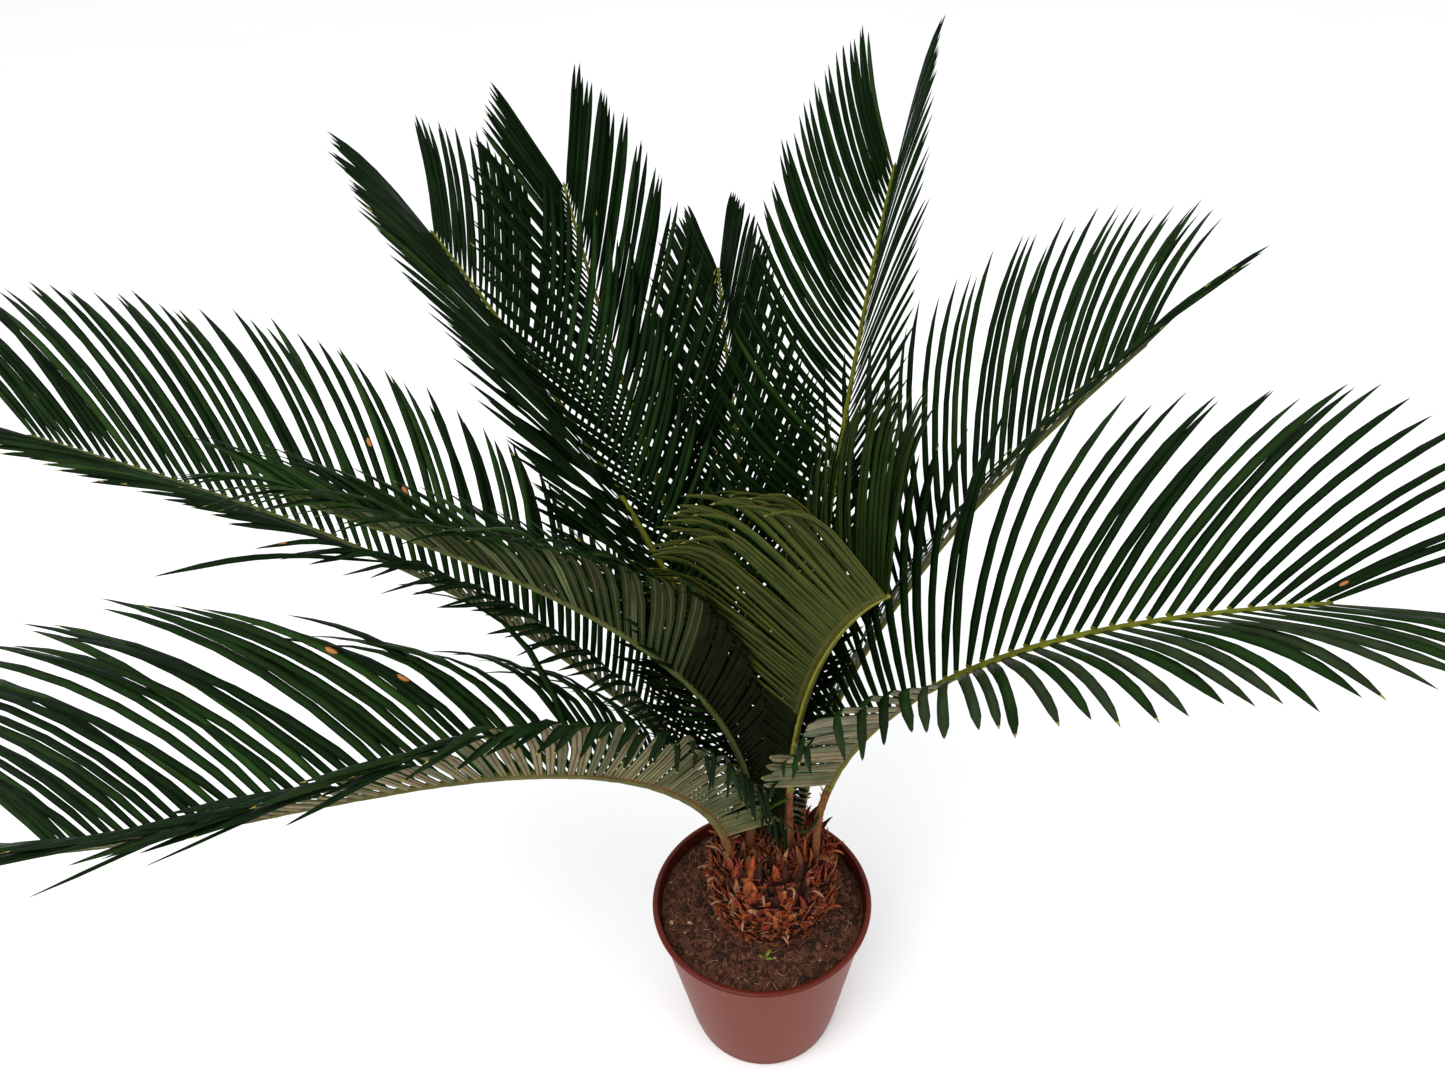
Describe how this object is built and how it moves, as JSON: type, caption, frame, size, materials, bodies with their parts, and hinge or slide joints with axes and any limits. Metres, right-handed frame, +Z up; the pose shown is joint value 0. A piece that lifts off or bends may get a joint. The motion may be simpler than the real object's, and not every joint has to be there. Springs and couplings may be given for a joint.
{
  "type": "potted sago palm",
  "caption": "Young sago palm in a thin plastic nursery pot: squat scaly trunk, arching feather fronds with narrow glossy leaflets, a pale new frond in front.",
  "frame": {"origin": "centre of the pot's flat underside", "axes": "+Z up along the pot's axis; -Y towards the open front of the crown, where the young pale frond leans; +X to the right seen from the front"},
  "size_m": [0.7857, 0.4234, 0.5578],
  "materials": {
    "pot_plastic": "satin",
    "compost": "matte",
    "trunk_scales": "matte",
    "frond_green": "satin",
    "frond_pale": "satin"
  },
  "bodies": {
    "root": {"pot": "pot_plastic", "soil": "compost", "trunk": "trunk_scales", "frond_young": "frond_pale", "frond_front_right": "frond_green", "frond_front_left": "frond_green", "frond_mid_left": "frond_green", "frond_long_left": "frond_green", "frond_tall_right": "frond_green", "frond_upper_left": "frond_green", "frond_upper_right": "frond_green", "frond_back": "frond_green", "frond_back_left": "frond_green"}
  },
  "joints": []
}
